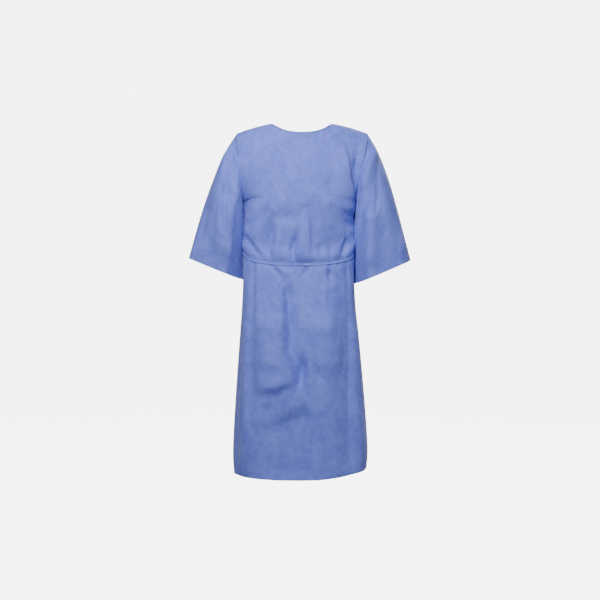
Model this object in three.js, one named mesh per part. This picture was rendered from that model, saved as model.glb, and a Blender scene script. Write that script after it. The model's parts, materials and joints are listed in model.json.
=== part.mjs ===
// A tie-back patient gown of non-woven cloth, as it hangs on a wearer: one front panel, two back
// panels that meet at an open centre back, two wide elbow-length sleeves, a bound neck with a bow
// behind, and a narrow waist tie that runs round the front and ends in a bow behind.
// Millimetres. The origin is midway between the two neck points, +X is the wearer's left,
// -Y the front and +Z up.
import * as THREE from "three";

const { lerp, clamp, degToRad } = THREE.MathUtils;
const vec = (x, y, z) => new THREE.Vector3(x, y, z);

// ---------------------------------------------------------------- driving dimensions
const ply = 1.5; // each panel's solid, which stands for a soft cloth wall
const seamGap = 0.5; // between two panels that are sewn together
const layGap = 0.5; // between a piece and the cloth that it lies on
const tailLift = 2; // between a tie's tail and the cloth behind it
const seamLift = 0.75; // between a seam's overlocked edge and the cloth, which bends there

const neckHalfWidth = 98;
const frontNeckDrop = 38;
const backNeckDrop = 26;
const neckRoundness = 2.6;

const shoulderTip = { x: 207, z: -30 };
const underarm = { x: 186, z: -250 };
const shoulderSlope = 1.35; // exponent of the shoulder line from neck to tip
const chestZ = -190; // level where the shoulders' curve ends
const hemZ = -1106;

const backGap = { neck: 5, waist: 3, hem: 18 }; // half the open centre back
const flapTopZ = -676; // where the back opening starts to swing
const flapHemX = 120; // where the fold of each flap reaches the hem
const flapTopWidth = 8;
const flapNotch = 3.8; // how far below the opening's top a flap begins

const waistSideZ = -412;
const waistFrontSag = 34;
const waistBackSag = 5;
const waistSagReach = 97; // how far above and below the tie the cloth follows its sag

const cuffOuter = { x: 352, z: -434 };
const cuffInner = { x: 188, z: -505 };
const cuffHalfDepth = 58;

const seamAllowance = { depth: 5, width: 1.6 };
const binding = { tall: 2.5, thick: 3.5 };
const waistTape = { width: 9, thick: 1.2 };
const neckTape = { width: 7, thick: 1.2 };
const knotOver = 4; // how much taller than its tape a knot is
const waistBow = { knot: vec(20, 12, waistTape.width + knotOver), loop: 52, droop: 34, lean: 0, tail: 200 };
const neckBow = { knot: vec(16, 10, neckTape.width + knotOver), loop: 38, droop: 16, lean: 20, tail: 125 };

// Half widths and half depths of the body down its length, as [below the neck point, value].
const halfWidths = [
  [250, 186], [300, 181], [360, 179], [430, 178], [520, 179], [600, 183],
  [700, 191], [800, 200], [900, 208], [1000, 214], [1060, 215], [1106, 212],
];
const frontDepths = [
  [-20, 103], [60, 108], [150, 114], [230, 114], [320, 106], [412, 95], [450, 94],
  [520, 104], [600, 117], [700, 128], [800, 138], [900, 150], [1000, 162], [1106, 176],
];
const backDepths = [
  [-20, 89], [60, 97], [150, 104], [230, 100], [320, 90], [412, 82], [440, 83],
  [500, 94], [600, 111], [700, 122], [800, 131], [900, 142], [1000, 153], [1106, 166],
];

const sectionRoundness = 2.4; // superellipse exponent of the body's section
const shoulderRoundness = 2.1; // and of the curve over the shoulders
const shoulderFullness = 0.2; // how much wider than the armholes the upper body's section is

// ---------------------------------------------------------------- grid of the cloth
const armRows = 8;
const sleeveRows = 8;
const rowSpacing = 55; // down the body, below the underarm
const bodyHeight = shoulderTip.z - hemZ;
const underarmShare = (shoulderTip.z - underarm.z) / bodyHeight;
const waistShare = (shoulderTip.z - waistSideZ) / bodyHeight;
const flapTopShare = (shoulderTip.z - flapTopZ) / bodyHeight;
const flapStartShare = flapTopShare + flapNotch / bodyHeight;

function curveThrough(pairs) {
  const cubic = new THREE.CubicInterpolant(pairs.map((p) => p[0]), pairs.map((p) => p[1]), 1);
  return (below) => cubic.evaluate(clamp(below, pairs[0][0], pairs.at(-1)[0]))[0];
}
const halfWidthAt = curveThrough(halfWidths);
const depthAt = { [-1]: curveThrough(frontDepths), 1: curveThrough(backDepths) };

// Shares of the body's height at which the panels have rows: close over the shoulders, then even
// between the underarm, the waist tie, the top of the flaps and the hem.
const rowShares = [];
for (let k = 0; k <= armRows; k++) rowShares.push(underarmShare * (k / armRows) ** 2);
for (const next of [waistShare, flapTopShare, flapStartShare, 1]) {
  const from = rowShares.at(-1);
  const spans = Math.max(Math.round(((next - from) * bodyHeight) / rowSpacing), 1);
  for (let k = 1; k <= spans; k++) rowShares.push(lerp(from, next, k / spans));
}

// The column that meets the neck point, and the columns across half of the body.
const reachAtTop = Math.asin(1 / (1 + shoulderFullness));
const neckColumn = Math.asin(neckHalfWidth / (shoulderTip.x * (1 + shoulderFullness))) / reachAtTop;
const halfColumns = [0, 0.34 * neckColumn, 0.68 * neckColumn, neckColumn, 0.56, 0.7, 0.85, 1];

function ridgeHeight(x) {
  const out = Math.max(Math.abs(x) - neckHalfWidth, 0) / (shoulderTip.x - neckHalfWidth);
  return shoulderTip.z * out ** shoulderSlope;
}

function topHeight(side, x) {
  const drop = side < 0 ? frontNeckDrop : backNeckDrop;
  const out = Math.abs(x) / neckHalfWidth;
  return out < 1 ? -drop * (1 - out ** neckRoundness) : ridgeHeight(x);
}

// Width of the body's section at a row, and the angle at which that row ends.
function section(share) {
  const armShare = clamp(share / underarmShare, 0, 1);
  if (armShare === 1) return { width: halfWidthAt(-lerp(shoulderTip.z, hemZ, share)), reach: Math.PI / 2 };
  const edge = lerp(shoulderTip.x, underarm.x, armShare);
  const width = edge * (1 + shoulderFullness * (1 - armShare ** 2));
  return { width, reach: Math.asin(edge / width) };
}

// A point of the gown's outer face: side is -1 on the front and 1 on the back, across runs from
// -1 to 1 between the armholes or side seams, and share runs from 0 at the top to 1 at the hem.
function bodyPoint(side, across, share) {
  const { width, reach } = section(share);
  const x = width * Math.sin(across * reach);
  const top = section(0);
  const topX = top.width * Math.sin(across * top.reach);
  const sag = (side < 0 ? waistFrontSag : waistBackSag) * (1 - Math.abs(across) ** 2.2);
  const fromWaist = ((share - waistShare) * bodyHeight) / waistSagReach;
  const z = lerp(topHeight(side, topX), hemZ, share) - sag * Math.exp(-(fromWaist ** 2));
  const climb = clamp((z - chestZ) / (ridgeHeight(x) - chestZ), 0, 1);
  const overShoulder = (1 - climb ** shoulderRoundness) ** (1 / shoulderRoundness);
  const acrossBody = Math.max(1 - Math.abs(x / width) ** sectionRoundness, 0) ** (1 / sectionRoundness);
  return vec(x, side * depthAt[side](-z) * overShoulder * acrossBody, z);
}

// The column of a row that lies at a given distance from the centre.
function columnAt(x, share) {
  const { width, reach } = section(share);
  return Math.asin(clamp(x / width, -1, 1)) / reach;
}

// ---------------------------------------------------------------- solids from grids
function solidFrom(points, faces) {
  const geometry = new THREE.BufferGeometry();
  geometry.setAttribute("position", new THREE.Float32BufferAttribute(points.flatMap((p) => p.toArray()), 3));
  geometry.setIndex(faces.flat());
  geometry.computeVertexNormals();
  return geometry;
}

// The outward normals of a grid of points, averaged at each point from the facets round it.
function gridNormals(grid, turn, closed) {
  const rows = grid.length;
  const columns = grid[0].length;
  const normals = grid.map((row) => row.map(() => vec(0, 0, 0)));
  for (let r = 0; r + 1 < rows; r++) {
    for (let c = 0; c < (closed ? columns : columns - 1); c++) {
      const next = (c + 1) % columns;
      const down = grid[r + 1][c].clone().add(grid[r + 1][next]).sub(grid[r][c]).sub(grid[r][next]);
      const over = grid[r][next].clone().add(grid[r + 1][next]).sub(grid[r][c]).sub(grid[r + 1][c]);
      const normal = down.cross(over).multiplyScalar(turn);
      for (const [i, j] of [[r, c], [r, next], [r + 1, c], [r + 1, next]]) normals[i][j].add(normal);
    }
  }
  return normals.map((row) => row.map((n) => n.normalize()));
}

// A wall of cloth: the outer face is the grid, and the inner face lies one ply inside it.
// inward(r, c, n) may bend the way that a point is offset, so that sewn edges stay face to face.
function clothWall(grid, { turn = 1, closed = false, inward = (r, c, n) => n } = {}) {
  const rows = grid.length;
  const columns = grid[0].length;
  const normals = gridNormals(grid, turn, closed);
  const inner = grid.map((row, r) =>
    row.map((p, c) => p.clone().addScaledVector(inward(r, c, normals[r][c]).normalize(), -ply)),
  );
  const at = (r, c, layer) => layer * rows * columns + r * columns + (c % columns);
  const faces = [];
  const quad = (a, b, c, d) => faces.push(...(turn > 0 ? [[a, b, c], [a, c, d]] : [[c, b, a], [d, c, a]]));
  const spans = closed ? columns : columns - 1;
  for (let c = 0; c < spans; c++) {
    for (let r = 0; r + 1 < rows; r++) {
      quad(at(r, c, 0), at(r + 1, c, 0), at(r + 1, c + 1, 0), at(r, c + 1, 0));
      quad(at(r, c + 1, 1), at(r + 1, c + 1, 1), at(r + 1, c, 1), at(r, c, 1));
    }
    quad(at(0, c, 1), at(0, c, 0), at(0, c + 1, 0), at(0, c + 1, 1));
    quad(at(rows - 1, c, 0), at(rows - 1, c, 1), at(rows - 1, c + 1, 1), at(rows - 1, c + 1, 0));
  }
  for (let r = 0; !closed && r + 1 < rows; r++) {
    const last = columns - 1;
    quad(at(r, 0, 1), at(r + 1, 0, 1), at(r + 1, 0, 0), at(r, 0, 0));
    quad(at(r, last, 0), at(r + 1, last, 0), at(r + 1, last, 1), at(r, last, 1));
  }
  return solidFrom([...grid.flat(), ...inner.flat()], faces);
}

// A strip with a four-cornered section: corners(i) gives the section at the i-th station.
function strip(count, corners, closed = false) {
  const sections = Array.from({ length: count }, (_, i) => corners(i));
  const faces = [];
  for (let i = 0; i < (closed ? count : count - 1); i++) {
    const j = (i + 1) % count;
    for (let k = 0; k < 4; k++) {
      const n = (k + 1) % 4;
      faces.push([i * 4 + k, i * 4 + n, j * 4 + n], [i * 4 + k, j * 4 + n, j * 4 + k]);
    }
  }
  if (!closed) {
    const e = (count - 1) * 4;
    faces.push([0, 2, 1], [0, 3, 2], [e, e + 1, e + 2], [e, e + 2, e + 3]);
  }
  const points = sections.flat();
  const volume = faces.reduce((sum, [a, b, c]) => sum + points[a].dot(points[b].clone().cross(points[c])), 0);
  return solidFrom(points, volume < 0 ? faces.map(([a, b, c]) => [c, b, a]) : faces);
}

// The overlocked edge of a seam: it stands inside the gown along the seam's line, in the middle of it.
function seamFlange(points, into) {
  const half = vec(0, seamAllowance.width / 2, 0);
  return strip(points.length, (i) => {
    const near = points[i].clone().addScaledVector(into, ply + seamLift);
    const far = near.clone().addScaledVector(into, seamAllowance.depth);
    return [near.clone().sub(half), near.clone().add(half), far.clone().add(half), far.clone().sub(half)];
  });
}

// ---------------------------------------------------------------- materials and the group
const cloth = new THREE.MeshStandardMaterial({ color: 0x7f92c8, roughness: 0.82, metalness: 0 });
const tape = new THREE.MeshStandardMaterial({ color: 0x8a9bd0, roughness: 0.8, metalness: 0 });
const thread = new THREE.MeshStandardMaterial({ color: 0x7285bd, roughness: 0.7, metalness: 0 });
const gown = new THREE.Group();

function add(name, geometry, material = cloth) {
  const mesh = new THREE.Mesh(geometry, material);
  mesh.name = name;
  gown.add(mesh);
  return mesh;
}

const sides = [["left", 1], ["right", -1]];
const armPlaneNormal = vec(shoulderTip.z - underarm.z, 0, -(shoulderTip.x - underarm.x)).normalize();
const mirrored = (v, hand) => vec(v.x * hand, v.y, v.z);

// Takes out of a normal its part along a seam, so that both walls of the seam stay face to face.
const without = (n, axis) => n.clone().addScaledVector(axis, -n.dot(axis));
const alongY = vec(0, 1, 0);

// ---------------------------------------------------------------- front panel
const fullColumns = [...halfColumns.slice(1).reverse().map((c) => -c), ...halfColumns];

function pullFromSeams(p, side, across, share) {
  const atShoulder = share === 0 && Math.abs(across) >= neckColumn - 1e-6;
  const atSide = Math.abs(across) === 1 && share >= underarmShare - 1e-6;
  if (atShoulder || atSide) p.y += (side * seamGap) / 2;
  if (Math.abs(across) === 1 && share <= underarmShare + 1e-6)
    p.addScaledVector(mirrored(armPlaneNormal, Math.sign(across)), -seamGap / 2);
  return p;
}

function seamInward(across, share, n) {
  const atShoulder = share === 0 && Math.abs(across) >= neckColumn - 1e-6;
  const atSide = Math.abs(across) === 1 && share >= underarmShare - 1e-6;
  return atShoulder || atSide ? without(n, alongY) : n;
}

const frontGrid = rowShares.map((share) =>
  fullColumns.map((across) => pullFromSeams(bodyPoint(-1, across, share), -1, across, share)),
);
const frontInward = (r, c, n) => seamInward(fullColumns[c], rowShares[r], n);
add("front_panel", clothWall(frontGrid, { inward: frontInward }));

// ---------------------------------------------------------------- back panels and flaps
function gapAt(share) {
  if (share < waistShare) return lerp(backGap.neck, backGap.waist, share / waistShare);
  return lerp(backGap.waist, backGap.hem, (share - waistShare) / (1 - waistShare));
}

// Where the fold of a flap lies at a row, as a distance from the centre back.
function foldAt(share) {
  const down = (share - flapTopShare) / (1 - flapTopShare);
  return lerp(gapAt(flapTopShare) + flapTopWidth, flapHemX, down);
}

// A row of points on one half of the back, from one distance off the centre to another column.
function backRow(hand, share, fromX, toAcross, count) {
  const from = columnAt(fromX, share);
  return Array.from({ length: count }, (_, i) => {
    const across = lerp(from, toAcross, i / (count - 1));
    return pullFromSeams(bodyPoint(1, hand * across, share), 1, hand * across, share);
  });
}

const backColumns = halfColumns.length;
const flapShares = rowShares.filter((share) => share > flapTopShare);
const flapColumns = 5;

for (const [name, hand] of sides) {
  // The top row keeps a point at the neck's corner; the rows below spread their columns evenly.
  const grid = rowShares.map((share) => {
    const fromX = share > flapTopShare ? foldAt(share) + seamGap / 2 : gapAt(share);
    const from = columnAt(fromX, share);
    return halfColumns.map((column) => {
      const across = hand * (from + (1 - from) * ((column - halfColumns[0]) / (1 - halfColumns[0])));
      const kept = Math.abs(column - neckColumn) < 1e-6 && share === 0 ? hand * neckColumn : across;
      return pullFromSeams(bodyPoint(1, kept, share), 1, column === 1 ? hand : kept, share);
    });
  });
  const inward = (r, c, n) => {
    const share = rowShares[r];
    if (share === 0 && halfColumns[c] >= neckColumn - 1e-6) return without(n, alongY);
    return halfColumns[c] === 1 ? seamInward(hand, share, n) : n;
  };
  add(`back_panel_${name}`, clothWall(grid, { turn: -hand, inward }));

  const flapGrid = flapShares.map((share) => {
    const row = backRow(hand, share, gapAt(share), columnAt(foldAt(share) - seamGap / 2, share), flapColumns);
    if (share === flapShares[0]) row.forEach((p) => (p.z -= seamGap));
    return row;
  });
  add(`back_flap_${name}`, clothWall(flapGrid, { turn: -hand }));
}

// ---------------------------------------------------------------- sleeves
// The armhole's points in order: top, down the front, underarm, up the back.
function armhole(hand) {
  const edge = (side, k) => bodyPoint(side, hand, rowShares[k]);
  const ring = [];
  for (let k = 0; k <= armRows; k++) ring.push(edge(-1, k));
  for (let k = armRows - 1; k > 0; k--) ring.push(edge(1, k));
  return ring;
}

// How far round the armhole each point lies, as an angle: 0 at the top and half a turn underneath.
function turnsOf(ring) {
  const half = (from, to) => {
    const lengths = [0];
    for (let i = from; i < to; i++) {
      const step = ring[i].distanceTo(ring[(i + 1) % ring.length]);
      lengths.push(lengths.at(-1) + step);
    }
    return lengths.map((length) => length / lengths.at(-1));
  };
  const front = half(0, armRows).map((share) => Math.PI * share);
  const back = half(armRows, 2 * armRows).map((share) => Math.PI * (1 + share));
  return [...front, ...back.slice(1, -1)];
}

const cuffCentre = vec((cuffOuter.x + cuffInner.x) / 2, 0, (cuffOuter.z + cuffInner.z) / 2);
const cuffReach = vec((cuffOuter.x - cuffInner.x) / 2, 0, (cuffOuter.z - cuffInner.z) / 2);
const leaving = { outer: vec(210, 0, -213), inner: vec(30, 0, -248), deep: 95 };
const arriving = { outer: vec(100, 0, -388), inner: vec(-8, 0, -250) };

function sleevePoint(hand, start, turn, down) {
  const inner = (1 - Math.cos(turn)) / 2;
  const end = cuffCentre.clone().addScaledVector(cuffReach, Math.cos(turn));
  end.y = -cuffHalfDepth * Math.sin(turn);
  const out = leaving.outer.clone().lerp(leaving.inner, inner).add(vec(0, -leaving.deep * Math.sin(turn), 0));
  const into = arriving.outer.clone().lerp(arriving.inner, inner);
  const [d2, d3] = [down ** 2, down ** 3];
  return mirrored(start, hand)
    .multiplyScalar(1 - 3 * d2 + 2 * d3)
    .addScaledVector(end, 3 * d2 - 2 * d3)
    .addScaledVector(out, down - 2 * d2 + d3)
    .addScaledVector(into, d3 - d2)
    .multiply(vec(hand, 1, 1));
}

const armholes = {};
for (const [name, hand] of sides) {
  const ring = armhole(hand);
  const turns = turnsOf(ring);
  const planeNormal = mirrored(armPlaneNormal, hand);
  armholes[name] = ring;
  const grid = Array.from({ length: sleeveRows + 1 }, (_, r) =>
    ring.map((p, i) => {
      const point = sleevePoint(hand, p, turns[i], r / sleeveRows);
      return r ? point : point.addScaledVector(planeNormal, seamGap / 2);
    }),
  );
  // At the armhole the wall's thickness lies in the plane of the seam.
  const inward = (r, c, n) => (r === 0 ? without(n, planeNormal) : n);
  add(`sleeve_${name}`, clothWall(grid, { turn: -hand, closed: true, inward }));

  const underarmLine = grid.slice(1).map((row) => row[armRows]);
  add(`sleeve_seam_${name}`, seamFlange(underarmLine, planeNormal), thread);
}

// ---------------------------------------------------------------- overlocked seams inside the body
for (const [name, hand] of sides) {
  const shoulderLine = fullColumns
    .filter((across) => across > neckColumn + 1e-6 && across < 1)
    .map((across) => bodyPoint(-1, hand * across, 0));
  add(`shoulder_seam_${name}`, seamFlange(shoulderLine, vec(0, 0, -1)), thread);
  const sideShares = rowShares.filter((share) => share > underarmShare);
  const sideLine = sideShares.map((share) => bodyPoint(-1, hand, share));
  add(`side_seam_${name}`, seamFlange(sideLine, vec(-hand, 0, 0)), thread);

  const ring = armholes[name];
  const planeNormal = mirrored(armPlaneNormal, hand);
  const centre = ring.reduce((sum, p) => sum.add(p), vec(0, 0, 0)).divideScalar(ring.length);
  const round = strip(
    ring.length,
    (i) => {
      const tangent = ring[(i + 1) % ring.length].clone().sub(ring[(i + ring.length - 1) % ring.length]);
      const into = tangent.cross(planeNormal).normalize();
      if (into.dot(centre.clone().sub(ring[i])) < 0) into.negate();
      const near = ring[i].clone().addScaledVector(into, ply + seamLift);
      const far = near.clone().addScaledVector(into, seamAllowance.depth);
      const bodySide = (p, off) => p.clone().addScaledVector(planeNormal, -off);
      const [first, last] = [layGap, layGap + seamAllowance.width];
      return [bodySide(near, first), bodySide(near, last), bodySide(far, last), bodySide(far, first)];
    },
    true,
  );
  add(`armhole_seam_${name}`, round, thread);
}

// ---------------------------------------------------------------- neck binding
// The neck's edge as [side, column], from the right of the centre back round the front to the left.
function neckLine() {
  const inside = (across) => Math.abs(across) <= neckColumn + 1e-6;
  const from = columnAt(gapAt(0), 0);
  const behind = halfColumns.filter((column) => column < neckColumn - 1e-6);
  const back = (hand) => behind.map((column) => [1, hand * (from + (1 - from) * column)]);
  const front = fullColumns.filter(inside).map((across) => [-1, across]);
  return [...back(-1), ...front, ...back(1).reverse()];
}
const neckEdge = neckLine();
const neckPoints = neckEdge.map(([side, across]) => bodyPoint(side, across, 0));
add(
  "neck_binding",
  strip(neckEdge.length, (i) => {
    const after = neckPoints[Math.min(i + 1, neckEdge.length - 1)];
    const tangent = after.clone().sub(neckPoints[Math.max(i - 1, 0)]).normalize();
    const [side, across] = neckEdge[i];
    const below = bodyPoint(side, across, 0.012).sub(neckPoints[i]);
    const up = without(below, tangent).normalize().negate();
    const outward = tangent.clone().cross(up).normalize();
    if (outward.dot(vec(neckPoints[i].x, neckPoints[i].y * 2, 0)) < 0) outward.negate();
    const at = (rise, out) => neckPoints[i].clone().addScaledVector(up, rise).addScaledVector(outward, out);
    const [low, high] = [2 * layGap, 2 * layGap + binding.tall];
    const [inner, outer] = [-(binding.thick + ply) / 2, (binding.thick - ply) / 2];
    return [at(low, inner), at(low, outer), at(high, outer), at(high, inner)];
  }),
  tape,
);

// ---------------------------------------------------------------- waist tie
// A point just outside the cloth at a column of the waist row, with the cloth's outward normal.
function waistPoint(side, across) {
  const p = bodyPoint(side, across, waistShare);
  const q = bodyPoint(side, across + 0.01, waistShare);
  const ahead = q.sub(p);
  const normal = ahead.cross(vec(0, 0, 1)).setZ(0).normalize();
  if (normal.dot(vec(p.x, p.y, 0)) < 0) normal.negate();
  return { p, normal };
}
const tieEnd = waistTape.width / 4; // the tape's two ends run in under the knot
function tieLine() {
  const from = columnAt(gapAt(waistShare), waistShare);
  const start = columnAt(tieEnd, waistShare);
  const columns = halfColumns.filter((column) => column < 1).map((column) => from + (1 - from) * column);
  const behind = [start, ...columns.filter((column) => column > start + 0.02)];
  const back = (hand) => behind.map((column) => [1, hand * column]);
  return [...back(-1), ...fullColumns.map((across) => [-1, across]), ...back(1).reverse()];
}
const tieColumns = tieLine();
const tieLift = 2 * layGap;
add(
  "waist_tie",
  strip(tieColumns.length, (i) => {
    const [side, across] = tieColumns[i];
    const { p, normal } = waistPoint(side, Math.abs(across) === 1 ? across * 0.9999 : across);
    if (Math.abs(across) === 1) normal.set(Math.sign(across), 0, 0);
    const at = (out, up) => p.clone().addScaledVector(normal, out).add(vec(0, 0, up));
    const [near, far] = [tieLift, tieLift + waistTape.thick];
    const half = waistTape.width / 2;
    return [at(near, -half), at(far, -half), at(far, half), at(near, half)];
  }),
  tape,
);

// ---------------------------------------------------------------- bows
// The outline of a bow's loop seen along the tape's width: out over the far side, round the end
// and back under it, with the two ends a little apart at the knot.
function loopGeometry(length, tapeWidth, thick) {
  const rise = 0.13 * length;
  const outline = new THREE.Shape();
  outline.moveTo(0, 0.4);
  outline.bezierCurveTo(0.3 * length, rise, 0.9 * length, 1.3 * rise, length, 0);
  outline.bezierCurveTo(0.9 * length, -0.8 * rise, 0.3 * length, -0.5 * rise, 0, -0.4 - thick);
  outline.lineTo(0, -0.4);
  const bend = length - thick;
  outline.bezierCurveTo(0.3 * length, thick - 0.5 * rise, 0.86 * length, thick - 0.8 * rise, bend, 0);
  outline.bezierCurveTo(0.86 * length, 1.3 * rise - thick, 0.3 * length, rise - thick, 0, 0.4 - thick * 0.4);
  outline.closePath();
  const extrusion = { depth: tapeWidth, bevelEnabled: false, curveSegments: 5 };
  return new THREE.ExtrudeGeometry(outline, extrusion).translate(0, 0, -tapeWidth / 2);
}

// A knot drawn tight: a rounded block, flat where it lies on the tape and where the ends leave it.
function knotGeometry(size) {
  const round = size.y * 0.25;
  const [x, z] = [size.x / 2 - round, size.z / 2 - round];
  const outline = new THREE.Shape();
  outline.moveTo(-x, z * 0.6).quadraticCurveTo(-x, z, -x * 0.6, z).lineTo(x * 0.6, z);
  outline.quadraticCurveTo(x, z, x, z * 0.6).lineTo(x, -z * 0.6).quadraticCurveTo(x, -z, x * 0.6, -z);
  outline.lineTo(-x * 0.6, -z).quadraticCurveTo(-x, -z, -x, -z * 0.6).closePath();
  const bevel = { bevelSize: round, bevelThickness: round, bevelSegments: 2, curveSegments: 3 };
  const geometry = new THREE.ExtrudeGeometry(outline, { depth: size.y - 2 * round, ...bevel });
  return geometry.translate(0, 0, round - size.y / 2).rotateX(Math.PI / 2);
}

// The cloth's surface straight behind a point of the back.
function backSurface(x, z) {
  let [low, high] = [0, 1];
  for (let i = 0; i < 24; i++) {
    const middle = (low + high) / 2;
    if (bodyPoint(1, columnAt(x, middle), middle).z > z) low = middle;
    else high = middle;
  }
  return bodyPoint(1, columnAt(x, low), low).y;
}

function addBow(part, loopPart, centre, bow, tapeSize) {
  add(`${part}_knot`, knotGeometry(bow.knot), tape).position.copy(centre);
  const tailX = tapeSize.width / 2 + layGap;
  const top = centre.z - bow.knot.z / 2 - layGap;
  const stations = 7;
  for (const [name, hand] of sides) {
    const geometry = loopGeometry(bow.loop, tapeSize.width, tapeSize.thick);
    const loop = add(`${loopPart}_loop_${name}`, geometry, tape);
    // The outline's x runs away from the knot and its y points away from the cloth.
    const away = vec(hand * Math.cos(degToRad(bow.droop)), 0, -Math.sin(degToRad(bow.droop)));
    away.y = Math.tan(degToRad(bow.lean)) * Math.sin(degToRad(bow.droop));
    away.normalize();
    const outward = without(vec(0, 1, 0), away).normalize();
    const basis = new THREE.Matrix4().makeBasis(away, outward, away.clone().cross(outward));
    loop.quaternion.setFromRotationMatrix(basis);
    const rootLift = (tapeSize.width / 2) * Math.sin(degToRad(bow.droop));
    loop.position.copy(centre).add(vec(hand * (bow.knot.x / 2 + layGap + rootLift), 0, 0));
    add(
      `${part}_tail_${name}`,
      strip(stations, (i) => {
        const z = top - (bow.tail * i) / (stations - 1);
        const lying = backSurface(tailX + tapeSize.width / 2, z) + tailLift;
        const near = i ? lying : Math.max(lying, centre.y - tapeSize.thick / 2);
        const at = (out, side) => vec(hand * (tailX + side), near + out, z);
        const half = tapeSize.width / 2;
        return [at(0, -half), at(tapeSize.thick, -half), at(tapeSize.thick, half), at(0, half)];
      }),
      tape,
    );
  }
}

const waistBack = bodyPoint(1, 0, waistShare);
const waistKnotY = waistBack.y + tieLift + waistTape.thick + layGap + waistBow.knot.y / 2;
addBow("waist_tie", "waist_bow", vec(0, waistKnotY, waistBack.z), waistBow, waistTape);

const neckBack = bodyPoint(1, columnAt(gapAt(0), 0), 0);
const neckKnotY = neckBack.y + binding.thick + neckBow.knot.y / 2 + layGap;
addBow("neck_tie", "neck_bow", vec(0, neckKnotY, neckBack.z), neckBow, neckTape);

export default gown;
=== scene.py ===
import json
import math

import bmesh
import bpy
import numpy as np
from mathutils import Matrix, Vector


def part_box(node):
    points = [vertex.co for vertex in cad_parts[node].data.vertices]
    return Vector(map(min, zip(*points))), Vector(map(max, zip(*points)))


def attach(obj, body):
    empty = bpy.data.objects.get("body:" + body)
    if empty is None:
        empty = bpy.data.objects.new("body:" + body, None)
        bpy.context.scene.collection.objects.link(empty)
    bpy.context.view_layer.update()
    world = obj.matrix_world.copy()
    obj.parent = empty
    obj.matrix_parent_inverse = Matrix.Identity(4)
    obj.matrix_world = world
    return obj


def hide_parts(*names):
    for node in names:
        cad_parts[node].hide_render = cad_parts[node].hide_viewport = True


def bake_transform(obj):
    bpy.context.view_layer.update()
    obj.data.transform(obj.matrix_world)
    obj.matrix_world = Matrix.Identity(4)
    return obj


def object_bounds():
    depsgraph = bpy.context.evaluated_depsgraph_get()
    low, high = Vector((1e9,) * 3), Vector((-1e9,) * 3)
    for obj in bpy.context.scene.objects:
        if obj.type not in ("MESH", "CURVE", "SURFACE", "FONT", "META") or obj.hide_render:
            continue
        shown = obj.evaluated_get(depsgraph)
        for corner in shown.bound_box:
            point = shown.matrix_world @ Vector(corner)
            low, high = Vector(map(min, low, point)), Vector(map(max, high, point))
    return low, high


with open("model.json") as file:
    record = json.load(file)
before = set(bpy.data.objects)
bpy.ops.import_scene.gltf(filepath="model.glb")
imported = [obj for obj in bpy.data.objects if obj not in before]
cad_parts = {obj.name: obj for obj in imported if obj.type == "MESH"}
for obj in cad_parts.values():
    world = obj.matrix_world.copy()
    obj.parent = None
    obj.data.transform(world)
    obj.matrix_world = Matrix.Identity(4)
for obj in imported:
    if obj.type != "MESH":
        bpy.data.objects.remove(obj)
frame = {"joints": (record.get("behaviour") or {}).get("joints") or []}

cad_low, cad_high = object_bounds()

# ---------------------------------------------------------------- the cut of the gown
# A tie-back gown of thin blue non-woven cloth, as it hangs on its wearer: one front panel, two back
# panels that meet at an open centre back, and two wide elbow-length sleeves set into the armholes.
# Everything is in metres from the point midway between the two neck points. Front is -Y.
neck_half_width = 0.098
shoulder_x, shoulder_z = 0.207, -0.030
underarm_x, underarm_z = 0.186, -0.250
chest_z = -0.190
waist_z, flap_top_z, hem_z = -0.412, -0.676, -1.106
body_height = shoulder_z - hem_z
underarm_share = (shoulder_z - underarm_z) / body_height
waist_share = (shoulder_z - waist_z) / body_height
flap_share = (shoulder_z - flap_top_z) / body_height


def curve_through(pairs):
    """A smooth curve through [below the neck point, value] pairs."""
    at, value = np.array(pairs, float).T
    slope = np.gradient(value, at)

    def evaluate(x):
        x = np.clip(x, at[0], at[-1])
        i = np.clip(np.searchsorted(at, x) - 1, 0, len(at) - 2)
        step = at[i + 1] - at[i]
        t = (x - at[i]) / step
        start = (1 + 2 * t) * (1 - t) ** 2 * value[i] + t * (1 - t) ** 2 * step * slope[i]
        return start + t * t * (3 - 2 * t) * value[i + 1] + t * t * (t - 1) * step * slope[i + 1]

    return evaluate


half_width = curve_through([
    (0.25, 0.186), (0.30, 0.181), (0.36, 0.179), (0.43, 0.178), (0.52, 0.179), (0.60, 0.183),
    (0.70, 0.191), (0.80, 0.200), (0.90, 0.208), (1.00, 0.214), (1.06, 0.215), (1.106, 0.212)])
depth = {
    -1: curve_through([
        (-0.02, 0.103), (0.06, 0.108), (0.15, 0.114), (0.23, 0.114), (0.32, 0.106), (0.412, 0.095),
        (0.45, 0.094), (0.52, 0.104), (0.60, 0.117), (0.70, 0.128), (0.80, 0.138), (0.90, 0.150),
        (1.00, 0.162), (1.106, 0.176)]),
    1: curve_through([
        (-0.02, 0.089), (0.06, 0.097), (0.15, 0.104), (0.23, 0.100), (0.32, 0.090), (0.412, 0.082),
        (0.44, 0.083), (0.50, 0.094), (0.60, 0.111), (0.70, 0.122), (0.80, 0.131), (0.90, 0.142),
        (1.00, 0.153), (1.106, 0.166)])}
waist_line = {
    -1: curve_through([
        (0.0, -0.4532), (0.35, -0.4515), (0.63, -0.4455), (0.84, -0.4375), (0.93, -0.4300), (1.0, -0.4120)]),
    1: curve_through([(0.0, -0.4144), (0.5, -0.4138), (1.0, -0.4120)])}
neck_drop = {-1: 0.038, 1: 0.026}


def ridge_height(x):
    """The shoulder line: level at the neck point and falling to the shoulder's tip."""
    out = np.clip(np.abs(x) - neck_half_width, 0, None) / (shoulder_x - neck_half_width)
    return shoulder_z * out ** 1.35


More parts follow.
